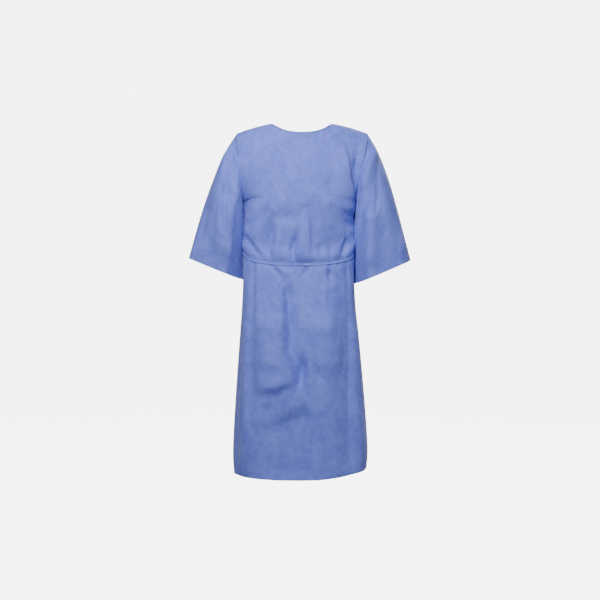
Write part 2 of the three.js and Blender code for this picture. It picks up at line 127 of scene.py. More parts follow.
def top_height(side, x):
    """The top edge: the neckline between the neck points, and the shoulder line beyond them."""
    out = np.abs(x) / neck_half_width
    neckline = -neck_drop[side] * (1 - np.clip(out, 0, 1) ** 2.6)
    return np.where(out < 1, neckline, ridge_height(x))


def section(share):
    """Half width of the body at a row, and the angle at which that row ends."""
    arm = np.clip(share / underarm_share, 0, 1)
    edge = shoulder_x + (underarm_x - shoulder_x) * arm
    fuller = edge * (1 + 0.2 * (1 - arm ** 2))
    width = np.where(arm < 1, fuller, half_width(share * body_height - shoulder_z))
    reach = np.where(arm < 1, np.arcsin(np.clip(edge / fuller, 0, 1)), np.pi / 2)
    return width, reach


# The wearer stands with a little more weight on one leg, so the cloth hangs slightly to one side.
lean = {
    1: curve_through([
        (-0.01, 0.002), (0.05, 0.004), (0.12, -0.002), (0.22, -0.012), (0.35, -0.010), (0.56, -0.010),
        (0.68, -0.007), (0.80, -0.006), (1.106, -0.004)]),
    -1: curve_through([
        (-0.01, 0.0), (0.12, 0.0), (0.22, 0.001), (0.35, -0.006), (0.56, -0.009), (0.68, -0.008),
        (0.80, -0.006), (1.106, -0.003)])}

raised_corner = 0.016


def leaned(points):
    """Shifts the cloth of the front to one side with the wearer, and lifts one corner of the hem."""
    in_front = np.clip(1 - points[..., 1] / 0.08, 0, 1)
    right = np.clip(0.5 + points[..., 0] / 0.3, 0, 1)
    shift = lean[1](-points[..., 2]) * right + lean[-1](-points[..., 2]) * (1 - right)
    near_hem = np.clip((-points[..., 2] - 0.9) / 0.2, 0, 1)
    raised = np.clip((points[..., 0] - 0.05) / 0.16, 0, 1) ** 1.5 * near_hem
    points[..., 0] += shift * in_front
    points[..., 2] += raised_corner * raised * in_front
    return points


def body_point(side, across, share):
    """A point of the undraped shape. side is -1 on the front and 1 on the back, across runs from -1 to 1
    between the armholes or the side seams, and share from 0 at the top to 1 at the hem."""
    across, share = np.broadcast_arrays(np.asarray(across, float), np.asarray(share, float))
    width, reach = section(share)
    x = width * np.sin(across * reach)
    top_width, top_reach = section(np.zeros(1))
    top = top_height(side, top_width * np.sin(across * top_reach))
    level = top * (1 - waist_share) + hem_z * waist_share
    sag = level - waist_line[side](np.sin(np.abs(across) * np.pi / 2))
    from_waist = (share - waist_share) * body_height / 0.13
    z = top * (1 - share) + hem_z * share - sag * np.exp(-(from_waist ** 2))
    climb = np.clip((z - chest_z) / (ridge_height(x) - chest_z), 0, 1)
    over_shoulder = (1 - climb ** 2.1) ** (1 / 2.1)
    across_body = np.clip(1 - np.abs(x / width) ** 2.4, 0, None) ** (1 / 2.4)
    y = side * depth[side](-z) * over_shoulder * across_body
    return leaned(np.stack([x, y, z], -1))


def column_at(x, share):
    """The place across a row, from -1 to 1, that lies at x."""
    width, reach = section(share)
    return np.arcsin(np.clip(x / width, -1, 1)) / reach


# The threads of the grid: rows an equal length of cloth apart, and columns that meet the neck point.
row_length = 0.0085
neck_column = float(column_at(neck_half_width, np.zeros(1))[0])
half_columns = np.concatenate([np.linspace(0, neck_column, 16), np.linspace(neck_column, 1, 24)[1:]])
full_columns = np.concatenate([-half_columns[:0:-1], half_columns])
dense = underarm_share * np.linspace(0, 1, 400) ** 2
walk = body_point(-1, 0.75, dense)
walked = np.concatenate([[0], np.cumsum(np.linalg.norm(np.diff(walk, axis=0), axis=1))])
arm_rows = int(walked[-1] / row_length)
rows = [np.interp(np.linspace(0, walked[-1], arm_rows + 1), walked, dense)]
for low, high in ((underarm_share, waist_share), (waist_share, flap_share), (flap_share, 1)):
    count = round((high - low) * body_height / row_length)
    rows.append(np.linspace(low, high, count + 1)[1:])
rows = np.concatenate(rows)
waist_row = int(np.argmin(np.abs(rows - waist_share)))


def back_gap(share):
    """Half of the open centre back: close at the neck, and widest at the hem."""
    above = 0.005 - 0.002 * share / waist_share
    below = 0.003 + 0.015 * (share - waist_share) / (1 - waist_share)
    return np.where(share < waist_share, above, below)


front = body_point(-1, full_columns[None, :], rows[:, None])
backs = {}
for hand in (1, -1):
    gap = column_at(back_gap(rows), rows)[:, None]
    inside = np.clip(half_columns / neck_column, 0, 1)[None, :]
    drawn_in = gap + (neck_column - gap) * inside
    across = np.where(half_columns[None, :] < neck_column, drawn_in, half_columns[None, :])
    backs[hand] = body_point(1, hand * across, rows[:, None])

# Each sleeve leaves the armhole square to it and hangs over the upper arm to a slanted cuff. In front it
# is flat as far as a ridge, and from there it turns in to the body.
cuffs = {
    1: {"outer": np.array([0.350, 0, -0.434]), "inner": np.array([0.156, 0, -0.511])},
    -1: {"outer": np.array([0.364, 0, -0.426]), "inner": np.array([0.176, 0, -0.497])}}
sleeve_rows = 44
sleeve_front = curve_through([
    (0.0, 0.0), (0.03, 0.024), (0.12, 0.046), (0.35, 0.060), (0.60, 0.066), (0.70, 0.065), (0.78, 0.044),
    (0.86, 0.014), (0.93, -0.016), (1.0, -0.045)])


def sleeve_grid(hand):
    """A sleeve as rings of points from the armhole to the cuff. hand is 1 on the left, -1 on the right."""
    edge = -1 if hand > 0 else 0
    ring = np.concatenate([front[:arm_rows + 1, edge], backs[hand][arm_rows - 1:0:-1, -1]])
    half = [ring[:arm_rows + 1], np.concatenate([ring[arm_rows:], ring[:1]])]
    turns = []
    for k, path in enumerate(half):
        length = np.concatenate([[0], np.cumsum(np.linalg.norm(np.diff(path, axis=0), axis=1))])
        turns.append(np.pi * (k + length / length[-1])[:-1])
    turn = np.concatenate(turns)[None, :]
    inner = (1 - np.cos(turn)) / 2
    behind = -0.058 * np.sin(turn) + 0.045 * inner ** 4
    cuff_y = np.where(np.sin(turn) > 0, -sleeve_front(inner), behind)
    outer_cuff, inner_cuff = cuffs[hand]["outer"], cuffs[hand]["inner"]
    inner = inner[..., None]
    end = outer_cuff * (1 - inner) + inner_cuff * inner
    end = end + np.array([0, 1, 0]) * cuff_y[..., None]
    leave = np.array([0.210, 0, -0.213]) * (1 - inner) + np.array([-0.030, 0, -0.248]) * inner
    leave = leave + np.array([0, -0.095, 0]) * np.sin(turn)[..., None]
    arrive = np.array([0.100, 0, -0.388]) * (1 - inner) + np.array([-0.008, 0, -0.250]) * inner
    t = np.linspace(0, 1, sleeve_rows + 1)[:, None, None]
    start = ring[None] * np.array([hand, 1, 1])
    shape = start * (1 - 3 * t ** 2 + 2 * t ** 3) + end * (3 * t ** 2 - 2 * t ** 3)
    shape = shape + leave * (t - 2 * t ** 2 + t ** 3) + arrive * (t ** 3 - t ** 2)
    return shape * np.array([hand, 1, 1])


sleeves = {hand: sleeve_grid(hand) for hand in (1, -1)}

# ---------------------------------------------------------------- how the cloth hangs
# The panels are sewn into one web, which falls under its own weight from the shoulders and the tie.
# It is a little wider than the shape it hangs in, so it breaks into soft folds.


def numbered(grid, first):
    """A number for each point of a grid."""
    return np.arange(first, first + grid.shape[0] * grid.shape[1]).reshape(grid.shape[:2])


front_ids = numbered(front, 0)
web_points = [front.reshape(-1, 3)]
count = front_ids.size
back_ids, sleeve_ids = {}, {}
for hand in (1, -1):
    edge = -1 if hand > 0 else 0
    ids = numbered(backs[hand], count)
    web_points.append(backs[hand].reshape(-1, 3))
    count += ids.size
    ids[arm_rows:, -1] = front_ids[arm_rows:, edge]
    beyond_neck = np.nonzero(half_columns >= neck_column - 1e-9)[0]
    middle = len(half_columns) - 1
    ids[0, beyond_neck] = front_ids[0, middle + hand * beyond_neck]
    back_ids[hand] = ids
    ids = numbered(sleeves[hand], count)
    web_points.append(sleeves[hand].reshape(-1, 3))
    count += ids.size
    ring = np.concatenate([front_ids[:arm_rows + 1, edge], back_ids[hand][arm_rows - 1:0:-1, -1]])
    ids[0] = ring
    sleeve_ids[hand] = ids
web_points = np.concatenate(web_points)


def grid_faces(ids, closed, turned):
    """The four corners of each face of a grid of numbers."""
    right = np.roll(ids, -1, axis=1)
    span = slice(None) if closed else slice(0, -1)
    corners = [ids[:-1, span], ids[1:, span], right[1:, span], right[:-1, span]]
    quads = np.stack([c.reshape(-1) for c in corners], -1)
    return quads[:, ::-1] if turned else quads


web_faces = np.concatenate(
    [grid_faces(front_ids, False, False)]
    + [grid_faces(back_ids[hand], False, hand > 0) for hand in (1, -1)]
    + [grid_faces(sleeve_ids[hand], True, hand > 0) for hand in (1, -1)])


def web_normals(points):
    """The way the cloth faces at each point of the web."""
    a, b, c, d = (points[web_faces[:, k]] for k in range(4))
    face = np.cross(c - a, d - b)
    normal = np.zeros_like(points)
    for k in range(4):
        np.add.at(normal, web_faces[:, k], face)
    return normal / np.maximum(np.linalg.norm(normal, axis=1, keepdims=True), 1e-12)


def fold(points, path, height, left, right, taper=0.05):
    """How far a fold lifts each point. It runs along a path of (x, z), seen from the front, and falls away
    over the widths left and right of it, as one travels along it. A valley's height is negative."""
    place = points[:, [0, 2]]
    path = np.array(path, float)
    length = np.concatenate([[0], np.cumsum(np.linalg.norm(np.diff(path, axis=0), axis=1))])
    best = np.full(len(points), np.inf)
    along = np.zeros(len(points))
    is_left = np.zeros(len(points), bool)
    for k in range(len(path) - 1):
        step = path[k + 1] - path[k]
        t = np.clip((place - path[k]) @ step / (step @ step), 0, 1)
        away = place - path[k] - t[:, None] * step
        distance = np.linalg.norm(away, axis=1)
        nearer = distance < best
        best = np.where(nearer, distance, best)
        along = np.where(nearer, length[k] + t * (length[k + 1] - length[k]), along)
        is_left = np.where(nearer, step[0] * away[:, 1] - step[1] * away[:, 0] > 0, is_left)
    taper = min(taper, length[-1] / 2)
    ends = np.clip(np.minimum(along, length[-1] - along) / taper, 0, 1)
    ends = 0.25 + 0.75 * ends * ends * (3 - 2 * ends)
    return height * ends * np.exp(-(best / np.where(is_left, left, right)) ** 2)


# The folds of the front: the hang from the bust, the gathers at the tie, and the lap over the thighs.
front_folds = [
    ([(0.142, -0.095), (0.153, -0.189), (0.168, -0.272)], 0.009, 0.007, 0.035),
    ([(0.180, -0.080), (0.172, -0.190)], -0.009, 0.010, 0.012),
    ([(0.120, -0.268), (0.176, -0.279)], 0.008, 0.022, 0.006),
    ([(0.138, -0.294), (0.160, -0.350)], -0.005, 0.014, 0.014),
    ([(0.020, -0.270), (0.025, -0.452)], 0.006, 0.006, 0.020),
    ([(-0.089, -0.306), (-0.104, -0.408), (-0.090, -0.450)], -0.010, 0.006, 0.013),
    ([(-0.070, -0.330), (-0.080, -0.408), (-0.072, -0.450)], 0.006, 0.014, 0.008),
    ([(-0.008, -0.345), (-0.022, -0.402), (-0.030, -0.454)], -0.014, 0.005, 0.012),
    ([(0.004, -0.345), (-0.010, -0.402), (-0.017, -0.454)], 0.008, 0.016, 0.006),
    ([(0.147, -0.353), (0.140, -0.402), (0.118, -0.450)], -0.010, 0.008, 0.012),
    ([(-0.172, -0.365), (-0.141, -0.415), (-0.112, -0.449)], -0.006, 0.008, 0.010),
    ([(0.058, -0.370), (0.064, -0.452)], -0.006, 0.010, 0.008),
    ([(0.090, -0.380), (0.094, -0.450)], -0.005, 0.008, 0.008),
    ([(-0.142, -0.300), (-0.150, -0.420)], 0.004, 0.020, 0.020),
    ([(-0.101, -0.456), (-0.074, -0.476), (-0.070, -0.504)], -0.010, 0.006, 0.007),
    ([(-0.085, -0.455), (-0.045, -0.480), (-0.030, -0.530)], 0.005, 0.014, 0.010),
    ([(0.020, -0.458), (0.007, -0.492)], -0.010, 0.006, 0.008),
    ([(0.088, -0.454), (0.094, -0.506)], -0.009, 0.007, 0.009),
    ([(0.140, -0.440), (0.146, -0.500)], -0.005, 0.009, 0.009),
    ([(-0.150, -0.440), (-0.154, -0.500)], -0.005, 0.009, 0.009),
    ([(-0.048, -0.500), (-0.040, -0.613), (-0.040, -0.721), (-0.015, -0.767), (-0.006, -0.825)],
     -0.017, 0.030, 0.010),
    ([(-0.100, -0.600), (-0.095, -0.800)], 0.016, 0.050, 0.060),
    ([(0.090, -0.600), (0.100, -0.800)], 0.012, 0.060, 0.050),
    ([(0.009, -0.728), (0.002, -0.786), (-0.011, -0.845)], -0.016, 0.011, 0.010),
    ([(0.036, -0.745), (0.051, -0.780), (0.063, -0.825)], -0.008, 0.009, 0.008),
    ([(0.022, -0.740), (0.030, -0.850)], 0.005, 0.010, 0.010),
    ([(-0.155, -0.842), (-0.082, -0.830), (-0.022, -0.806)], 0.014, 0.050, 0.012),
    ([(-0.050, -0.890), (-0.020, -0.980), (-0.030, -1.120)], -0.028, 0.095, 0.085),
    ([(-0.085, -0.842), (-0.132, -0.891), (-0.150, -0.965), (-0.156, -1.068)], 0.008, 0.014, 0.030),
    ([(0.042, -0.668), (0.113, -0.662)], 0.005, 0.030, 0.008),
    ([(0.144, -0.600), (0.150, -0.842), (0.156, -1.090)], -0.009, 0.010, 0.050),
    ([(0.172, -0.620), (0.180, -0.842), (0.188, -1.090)], 0.006, 0.020, 0.016),
    ([(-0.172, -0.600), (-0.176, -0.842), (-0.180, -1.090)], 0.005, 0.016, 0.020),
    ([(0.035, -0.860), (0.044, -1.110)], 0.007, 0.030, 0.020),
    ([(0.100, -0.880), (0.105, -1.110)], 0.005, 0.024, 0.024),
    ([(-0.070, -0.960), (-0.076, -1.110)], 0.004, 0.020, 0.014)]

# The folds of the sleeves' fronts: the ridge beside the armhole, and the edge where the cloth turns in.
sleeve_folds = {
    1: [
        ([(0.236, -0.062), (0.212, -0.138), (0.186, -0.222)], 0.013, 0.022, 0.006),
        ([(0.202, -0.262), (0.217, -0.324), (0.213, -0.406), (0.205, -0.470)], 0.010, 0.032, 0.011),
        ([(0.241, -0.122), (0.263, -0.248), (0.287, -0.437)], 0.005, 0.022, 0.026),
        ([(0.320, -0.360), (0.312, -0.440)], 0.004, 0.014, 0.014)],
    -1: [
        ([(-0.234, -0.070), (-0.259, -0.207), (-0.257, -0.327), (-0.252, -0.430)], 0.010, 0.014, 0.030),
        ([(-0.200, -0.225), (-0.217, -0.255), (-0.226, -0.327), (-0.233, -0.450)], 0.009, 0.010, 0.026),
        ([(-0.240, -0.189), (-0.194, -0.219)], 0.005, 0.006, 0.006),
        ([(-0.232, -0.206), (-0.194, -0.234)], 0.005, 0.006, 0.006),
        ([(-0.218, -0.098), (-0.204, -0.122), (-0.194, -0.152)], 0.005, 0.006, 0.007),
        ([(-0.300, -0.230), (-0.318, -0.400)], -0.004, 0.020, 0.020)]}

# The back gathers more deeply at the ties, and its fullness falls in long folds to the hem.
chance = np.random.default_rng(11)
back_folds = []
for x in np.linspace(-0.155, 0.155, 13):
    x = x + chance.uniform(-0.007, 0.007)
    slant = chance.uniform(-0.012, 0.012)
    reach = chance.uniform(0.05, 0.12)
    deep = chance.uniform(0.006, 0.012)
    back_folds.append(([(x + slant, waist_z + reach), (x, waist_z + 0.004)], -deep, 0.009, 0.007, 0.03))
    back_folds.append(([(x, waist_z - 0.004), (x - slant, waist_z - reach)], -deep, 0.008, 0.010, 0.03))
for x in (-0.170, -0.118, -0.064, 0.060, 0.112, 0.166):
    x = x + chance.uniform(-0.008, 0.008)
    start_z = -0.50 - chance.uniform(0.25, 0.5) * 0.2
    tall = chance.uniform(0.009, 0.015)
    back_folds.append(([(x, start_z), (x * 1.15, hem_z)], tall, 0.022, 0.018, 0.2))
for x in (-0.120, -0.050, 0.045, 0.125):
    x = x + chance.uniform(-0.010, 0.010)
    tall = chance.uniform(-0.009, 0.009)
    back_folds.append(([(x, -0.09), (x * 0.9, -0.34)], tall, 0.018, 0.014, 0.1))
sleeve_back_folds = {
    hand: [
        ([(hand * 0.232, -0.080), (hand * 0.246, -0.300), (hand * 0.240, -0.450)], 0.008, 0.022, 0.022),
        ([(hand * 0.286, -0.180), (hand * 0.300, -0.420)], -0.006, 0.018, 0.018),
        ([(hand * 0.215, -0.215), (hand * 0.262, -0.262)], 0.005, 0.008, 0.008)]
    for hand in (1, -1)}


fold_depth = 1.3


def pressed_into(points, ids, folds, facing):
    """Lifts the points of one panel by its folds, where they face the way the folds are seen from."""
    ids = np.unique(ids)
    normal = web_normals(points)[ids]
    seen = np.clip(normal[:, 1] * facing * 1.6, 0, 1)
    lift = fold_depth * sum(fold(points[ids], *each) for each in folds)
    points = points.copy()
    points[ids] += normal * (lift * seen)[:, None]
    return points


# At the tie the cloth is drawn in, and it bulges over it above and below.
shaped = web_points.copy()
normals = web_normals(web_points)
body_ids = [front_ids, back_ids[1], back_ids[-1]]
for ids in body_ids:
    from_tie = (rows - waist_share) * body_height
    lift = -0.0030 * np.exp(-(from_tie / 0.008) ** 2)
    lift += 0.0040 * np.exp(-((from_tie + 0.026) / 0.018) ** 2)
    lift += 0.0020 * np.exp(-((from_tie - 0.024) / 0.016) ** 2)
    shaped[ids] = web_points[ids] + normals[ids] * lift[:, None, None]
shaped = pressed_into(shaped, front_ids, front_folds, -1)
for hand in (1, -1):
    shaped = pressed_into(shaped, back_ids[hand], back_folds, 1)
    shaped = pressed_into(shaped, sleeve_ids[hand], sleeve_folds[hand], -1)
    shaped = pressed_into(shaped, sleeve_ids[hand], sleeve_back_folds[hand], 1)


def drape(points, wider, held, frames):
    """Lets the web hang for a number of frames. wider is the web as it was cut, and held runs from 0
    where the cloth is free to 1 where it is sewn or tied fast."""
    used, packed = np.unique(web_faces, return_inverse=True)
    mesh = bpy.data.meshes.new("web")
    mesh.from_pydata(points[used].tolist(), [], packed.reshape(web_faces.shape).tolist())
    web = bpy.data.objects.new("web", mesh)
    bpy.context.scene.collection.objects.link(web)
    web.shape_key_add(name="hung")
    cut = web.shape_key_add(name="cut")
    cut.data.foreach_set("co", wider[used].astype(np.float32).ravel())
    group = web.vertex_groups.new(name="held")
    for level in np.unique(held[used]):
        group.add(np.nonzero(held[used] == level)[0].tolist(), float(level), "REPLACE")
    cloth = web.modifiers.new("cloth", "CLOTH")
    cloth.settings.quality = 6
    cloth.settings.mass = 0.1
    cloth.settings.tension_stiffness = 25
    cloth.settings.compression_stiffness = 25
    cloth.settings.shear_stiffness = 12
    cloth.settings.bending_stiffness = 0.6
    cloth.settings.air_damping = 2
    cloth.settings.vertex_group_mass = "held"
    cloth.settings.pin_stiffness = 0.02
    cloth.settings.rest_shape_key = cut
    cloth.settings.effector_weights.gravity = 0.5
    cloth.point_cache.frame_end = frames
    scene = bpy.context.scene
    for number in range(1, frames + 1):
        scene.frame_set(number)
    shape = web.evaluated_get(bpy.context.evaluated_depsgraph_get()).to_mesh()
    moved = np.zeros(len(shape.vertices) * 3, np.float32)
    shape.vertices.foreach_get("co", moved)
    result = points.copy()
    result[used] = moved.reshape(-1, 3)
    bpy.data.objects.remove(web)
    scene.frame_set(1)
    return result


# The web is cut wider than the shape it hangs in, most of all at the tie.
held = np.full(len(web_points), 0.3)
wider = shaped.copy()
for ids in body_ids:
    ease = 0.045 + 0.02 * np.exp(-((rows - waist_share) * body_height / 0.08) ** 2)
    wider[ids, :2] = shaped[ids, :2] * (1 + ease)[:, None, None]
    held[ids[waist_row]] = 1
for ids in sleeve_ids.values():
    ring = shaped[ids]
    centre = ring.mean(axis=1, keepdims=True)
    wider[ids[1:]] = (centre + (ring - centre) * 1.05)[1:]
held[front_ids[0]] = 1
for hand in (1, -1):
    held[back_ids[hand][0]] = 1
    held[back_ids[hand][:, 0]] = np.maximum(held[back_ids[hand][:, 0]], 0.5)

# The drape may move a point by most_shift at the very most, and by less near the side and sleeve seams.
hung = shaped
most_shift, drape_frames = 0.018, 26
shift = drape(shaped, wider, held, drape_frames) - shaped
far = np.linalg.norm(shift, axis=1, keepdims=True)
free = np.ones((len(web_points), 1))
for ids in body_ids:
    from_side = np.arange(ids.shape[1])[::-1]
    if ids is front_ids:
        from_side = np.minimum(from_side, from_side[::-1])
    free[ids] = np.minimum(free[ids], 0.15 + 0.85 * np.clip(from_side / 7, 0, 1)[None, :, None])
for ids in sleeve_ids.values():
    from_seam = np.abs(np.arange(ids.shape[1]) - arm_rows)[None, :, None]
    free[ids[1:]] = 0.15 + 0.85 * np.clip(from_seam / 8, 0, 1)
hung = shaped + free * shift * most_shift / (most_shift + far)
half_gap = 0.0015
for hand in (1, -1):
    edge = hung[back_ids[hand][1:], 0] * hand
    hung[back_ids[hand][1:], 0] = np.maximum(edge, half_gap) * hand

# ---------------------------------------------------------------- the cloth itself
# Spun and melt-blown polypropylene, bonded at fine points: a matt web with cloudy, uneven fibre, a
# grid of tiny pressed bonds, and the faint creases of having been folded flat in its bag.


def node_group(name, inputs, outputs):
    """An empty shader group with named number inputs and outputs."""
    group = bpy.data.node_groups.new(name, "ShaderNodeTree")
    for label, value in inputs.items():
        socket = group.interface.new_socket(label, in_out="INPUT", socket_type="NodeSocketFloat")
        socket.default_value = value
    for label in outputs:
        group.interface.new_socket(label, in_out="OUTPUT", socket_type="NodeSocketFloat")
    return group


def add_node(tree, kind, links=None, **values):
    """A node with its settings, its unlinked inputs by name, and its linked inputs."""
    node = tree.nodes.new(kind)
    for label, value in values.items():
        if hasattr(node, label):
            setattr(node, label, value)
        else:
            node.inputs[label.replace("_", " ")].default_value = value
    for label, source in (links or {}).items():
        tree.links.new(source, node.inputs[label])
    return node


web_group = node_group(
    "Non-woven web", {"Cloud Scale": 55.0, "Bond Scale": 620.0, "Crinkle Scale": 30.0}, ["Tone", "Relief"])
tree = web_group
entry = tree.nodes.new("NodeGroupInput")
leave = tree.nodes.new("NodeGroupOutput")
place = add_node(tree, "ShaderNodeTexCoord").outputs["UV"]
clouds = add_node(tree, "ShaderNodeTexNoise", {"Vector": place, "Scale": entry.outputs["Cloud Scale"]},
                  Detail=7.0, Roughness=0.62, Distortion=0.3)
fibres = add_node(tree, "ShaderNodeTexNoise", {"Vector": place, "Scale": entry.outputs["Bond Scale"]},
                  Detail=3.0, Roughness=0.7, Distortion=2.0)
bonds = add_node(tree, "ShaderNodeTexVoronoi", {"Vector": place, "Scale": entry.outputs["Bond Scale"]},
                 Randomness=0.25)
pressed = add_node(tree, "ShaderNodeMapRange", {"Value": bonds.outputs["Distance"]},
                   interpolation_type="SMOOTHSTEP")
pressed.inputs["From Min"].default_value = 0.12
pressed.inputs["From Max"].default_value = 0.38
crinkle = add_node(tree, "ShaderNodeTexNoise", {"Vector": place, "Scale": entry.outputs["Crinkle Scale"]},
                   Detail=4.0, Roughness=0.5, Distortion=1.2)


def mixed(tree, operation, a, b, c=None):
    """The result of a Math node on sockets or plain numbers."""
    node = tree.nodes.new("ShaderNodeMath")
    node.operation = operation
    for socket, value in zip(node.inputs, (a, b, c)):
        if isinstance(value, (int, float)):
            socket.default_value = value
        elif value is not None:
            tree.links.new(value, socket)
    return node.outputs[0]


patches = add_node(tree, "ShaderNodeTexNoise", {"Vector": place}, Scale=13.0, Detail=3.0, Roughness=0.55,
                   Distortion=0.8)
patch_tone = mixed(tree, "MULTIPLY_ADD", patches.outputs["Fac"], 0.7, -0.41)
fibre_tone = mixed(tree, "MULTIPLY_ADD", fibres.outputs["Fac"], 0.12, patch_tone)
tone = mixed(tree, "MULTIPLY_ADD", clouds.outputs["Fac"], 0.6, fibre_tone)
tone = mixed(tree, "MULTIPLY_ADD", pressed.outputs["Result"], 0.08, mixed(tree, "ADD", tone, 0.13))
tree.links.new(tone, leave.inputs["Tone"])
relief = mixed(tree, "MULTIPLY_ADD", pressed.outputs["Result"], 0.06, crinkle.outputs["Fac"])
relief = mixed(tree, "MULTIPLY_ADD", fibres.outputs["Fac"], 0.03, relief)
tree.links.new(relief, leave.inputs["Relief"])


def cloth_material(name, dark, light, crinkle_scale, depth_m):
    """The web in one colour, between its dark and light fibre, with bumps of a depth in metres."""
    material = bpy.data.materials.new(name)
    material.use_nodes = True
    tree = material.node_tree
    shader = tree.nodes["Principled BSDF"]
    web = tree.nodes.new("ShaderNodeGroup")
    web.node_tree = web_group
    web.inputs["Crinkle Scale"].default_value = crinkle_scale
    ramp = tree.nodes.new("ShaderNodeValToRGB")
    ramp.color_ramp.elements[0].position = 0.3
    ramp.color_ramp.elements[0].color = (*dark, 1)
    ramp.color_ramp.elements[1].position = 0.75
    ramp.color_ramp.elements[1].color = (*light, 1)
    tree.links.new(web.outputs["Tone"], ramp.inputs["Fac"])
    tree.links.new(ramp.outputs["Color"], shader.inputs["Base Color"])
    rough = add_node(tree, "ShaderNodeMapRange", {"Value": web.outputs["Tone"]})
    rough.inputs["To Min"].default_value = 0.9
    rough.inputs["To Max"].default_value = 0.7
    tree.links.new(rough.outputs["Result"], shader.inputs["Roughness"])
    bump = add_node(tree, "ShaderNodeBump", {"Height": web.outputs["Relief"]}, Strength=1.0)
    bump.inputs["Distance"].default_value = depth_m
    tree.links.new(bump.outputs["Normal"], shader.inputs["Normal"])
    shader.inputs["Sheen Weight"].default_value = 0.12
    shader.inputs["Sheen Roughness"].default_value = 0.5
    shader.inputs["Specular IOR Level"].default_value = 0.35
    return material


cloth = cloth_material("Blue non-woven cloth", (0.098, 0.138, 0.59), (0.170, 0.221, 0.76), 30.0, 0.0006)


def cloth_lengths(grid):
    """Flat coordinates of a grid of cloth in metres, so that the web keeps its true size."""
    along = np.linalg.norm(np.diff(grid, axis=1), axis=2)
    down = np.linalg.norm(np.diff(grid, axis=0), axis=2)
    u = np.concatenate([np.zeros((len(grid), 1)), np.cumsum(along, axis=1)], axis=1)
    u = u - u[:, u.shape[1] // 2:u.shape[1] // 2 + 1]
    v = np.concatenate([np.zeros((1, grid.shape[1])), np.cumsum(down, axis=0)], axis=0)
    return np.stack([u, np.broadcast_to(v.mean(axis=1, keepdims=True), u.shape)], -1)


def grid_object(name, grid, material, closed=False, turned=False, start=0.0):
    """A sheet of mesh over a grid of points, with the cloth's own lengths as its UV map."""
    if closed:
        grid = np.concatenate([grid, grid[:, :1]], axis=1)
    flat = cloth_lengths(grid) + start
    mesh = bpy.data.meshes.new(name)
    ids = numbered(grid, 0)
    quads = grid_faces(ids, False, turned)
    points = grid.reshape(-1, 3)
    uv = flat.reshape(-1, 2)[quads.ravel()]
    if closed:
        merged = ids.copy()
        merged[:, -1] = merged[:, 0]
        quads = merged.reshape(-1)[quads]
        used, quads_packed = np.unique(quads, return_inverse=True)
        points = points[used]
        quads = quads_packed.reshape(-1, 4)
    mesh.from_pydata(points.tolist(), [], quads.tolist())
    layer = mesh.uv_layers.new(name="cloth")
    layer.data.foreach_set("uv", uv.astype(np.float32).ravel())
    mesh.materials.append(material)
    mesh.polygons.foreach_set("use_smooth", [True] * len(mesh.polygons))
    piece = bpy.data.objects.new(name, mesh)
    bpy.context.scene.collection.objects.link(piece)
    return piece


def finished(piece, thickness=0.0, levels=1):
    """Gives a sheet its smooth surface and then its thickness, and keeps the result as its mesh."""
    if levels:
        smooth = piece.modifiers.new("smooth", "SUBSURF")
        smooth.levels = levels
        smooth.render_levels = levels
        smooth.boundary_smooth = "PRESERVE_CORNERS"
    if thickness:
        solid = piece.modifiers.new("ply", "SOLIDIFY")
        solid.thickness = thickness
        solid.offset = -1
    evaluated = piece.evaluated_get(bpy.context.evaluated_depsgraph_get())
    mesh = bpy.data.meshes.new_from_object(evaluated)
    mesh.set_sharp_from_angle(angle=math.radians(50))
    piece.modifiers.clear()
    piece.data = mesh
    return piece


ply = 0.0006

# ---------------------------------------------------------------- front panel
# One width of cloth from the neck to the hem, cut straight at the hem and left raw there. It hangs
# from the shoulder seams and is drawn in at the waist by the tie.
front_piece = grid_object("front_cloth", hung[front_ids], cloth)
finished(front_piece, ply)
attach(front_piece, "gown_body")
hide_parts("front_panel")

# ---------------------------------------------------------------- back panels
# Two narrower widths of the same cloth, which meet at the centre back under the neck tie and the waist tie.
# Below the ties their free edges stand further apart towards the hem.
for name, hand in (("left", 1), ("right", -1)):
    piece = grid_object(f"back_cloth_{name}", hung[back_ids[hand]], cloth, turned=hand > 0, start=0.9 * hand)
    finished(piece, ply)
    joint = next(j for j in frame["joints"] if j["child"] == f"back_flap_{name}")
    fold_line = Vector(joint["axis"]).normalized()
    towards_centre = Vector((-hand, 0, 0))
    towards_centre -= fold_line * fold_line.dot(towards_centre)
    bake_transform(piece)
    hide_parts(f"back_panel_{name}", f"back_flap_{name}")

# ---------------------------------------------------------------- sleeves
# Wide set-in sleeves to the elbow, each one piece of cloth with a single seam under the arm, and a raw
# straight cuff.


def bends_at_armhole(piece):
    """Keeps a piece where it stands, written into its own mesh."""
    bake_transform(piece)


for name, hand in (("left", 1), ("right", -1)):
    grid = hung[sleeve_ids[hand]]
    piece = grid_object(f"sleeve_cloth_{name}", grid, cloth, closed=True, turned=hand > 0, start=1.7 * hand)
    finished(piece, ply)
    bends_at_armhole(piece)
    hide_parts(f"sleeve_{name}")

# ---------------------------------------------------------------- seams
# The panels are joined with overlocked seams. Each allowance stands about 5 mm into the gown, trimmed and
# wrapped in a running zigzag of polyester thread, so that outside only a fine groove shows.
thread = cloth_material("Polyester thread", (0.085, 0.125, 0.38), (0.120, 0.165, 0.44), 900.0, 0.0001)
web_normal = web_normals(hung)


def unit(vectors):
    """The same directions at length one."""
    return vectors / np.maximum(np.linalg.norm(vectors, axis=-1, keepdims=True), 1e-12)


